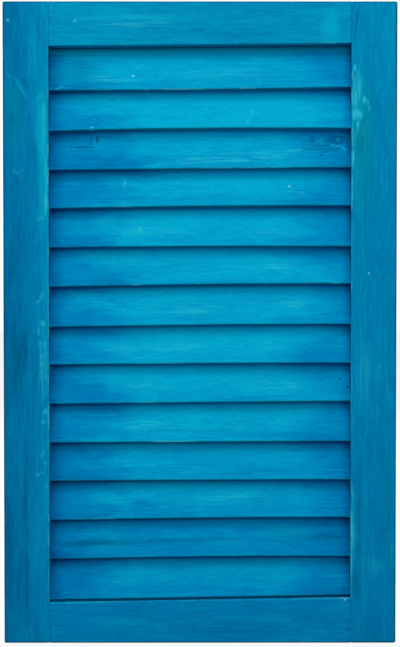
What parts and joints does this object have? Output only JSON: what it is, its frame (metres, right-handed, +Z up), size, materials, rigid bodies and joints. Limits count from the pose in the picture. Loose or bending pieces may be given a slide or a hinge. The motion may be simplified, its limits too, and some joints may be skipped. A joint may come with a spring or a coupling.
{
  "type": "louvred window shutter leaf",
  "caption": "Wooden window shutter leaf with fixed slanting slats housed between two stiles and two rails, painted in a thin blue that shows the grain.",
  "frame": {"origin": "middle of the bottom edge, halfway through the thickness", "axes": "+Z up the leaf, +X to the right when the outdoor face is seen, and -Y out of that face"},
  "size_m": [0.49, 0.032, 0.8],
  "materials": {
    "painted_frame": "thin blue paint over grained softwood, satin, worn pale along the arrises",
    "painted_slats": "thin turquoise-blue paint over grained softwood, satin"
  },
  "bodies": {
    "root": {"stile_left": "painted_frame", "stile_right": "painted_frame", "rail_top": "painted_frame", "rail_bottom": "painted_frame", "slat_01": "painted_slats", "slat_02": "painted_slats", "slat_03": "painted_slats", "slat_04": "painted_slats", "slat_05": "painted_slats", "slat_06": "painted_slats", "slat_07": "painted_slats", "slat_08": "painted_slats", "slat_09": "painted_slats", "slat_10": "painted_slats", "slat_11": "painted_slats", "slat_12": "painted_slats", "slat_13": "painted_slats", "slat_14": "painted_slats"}
  },
  "joints": []
}
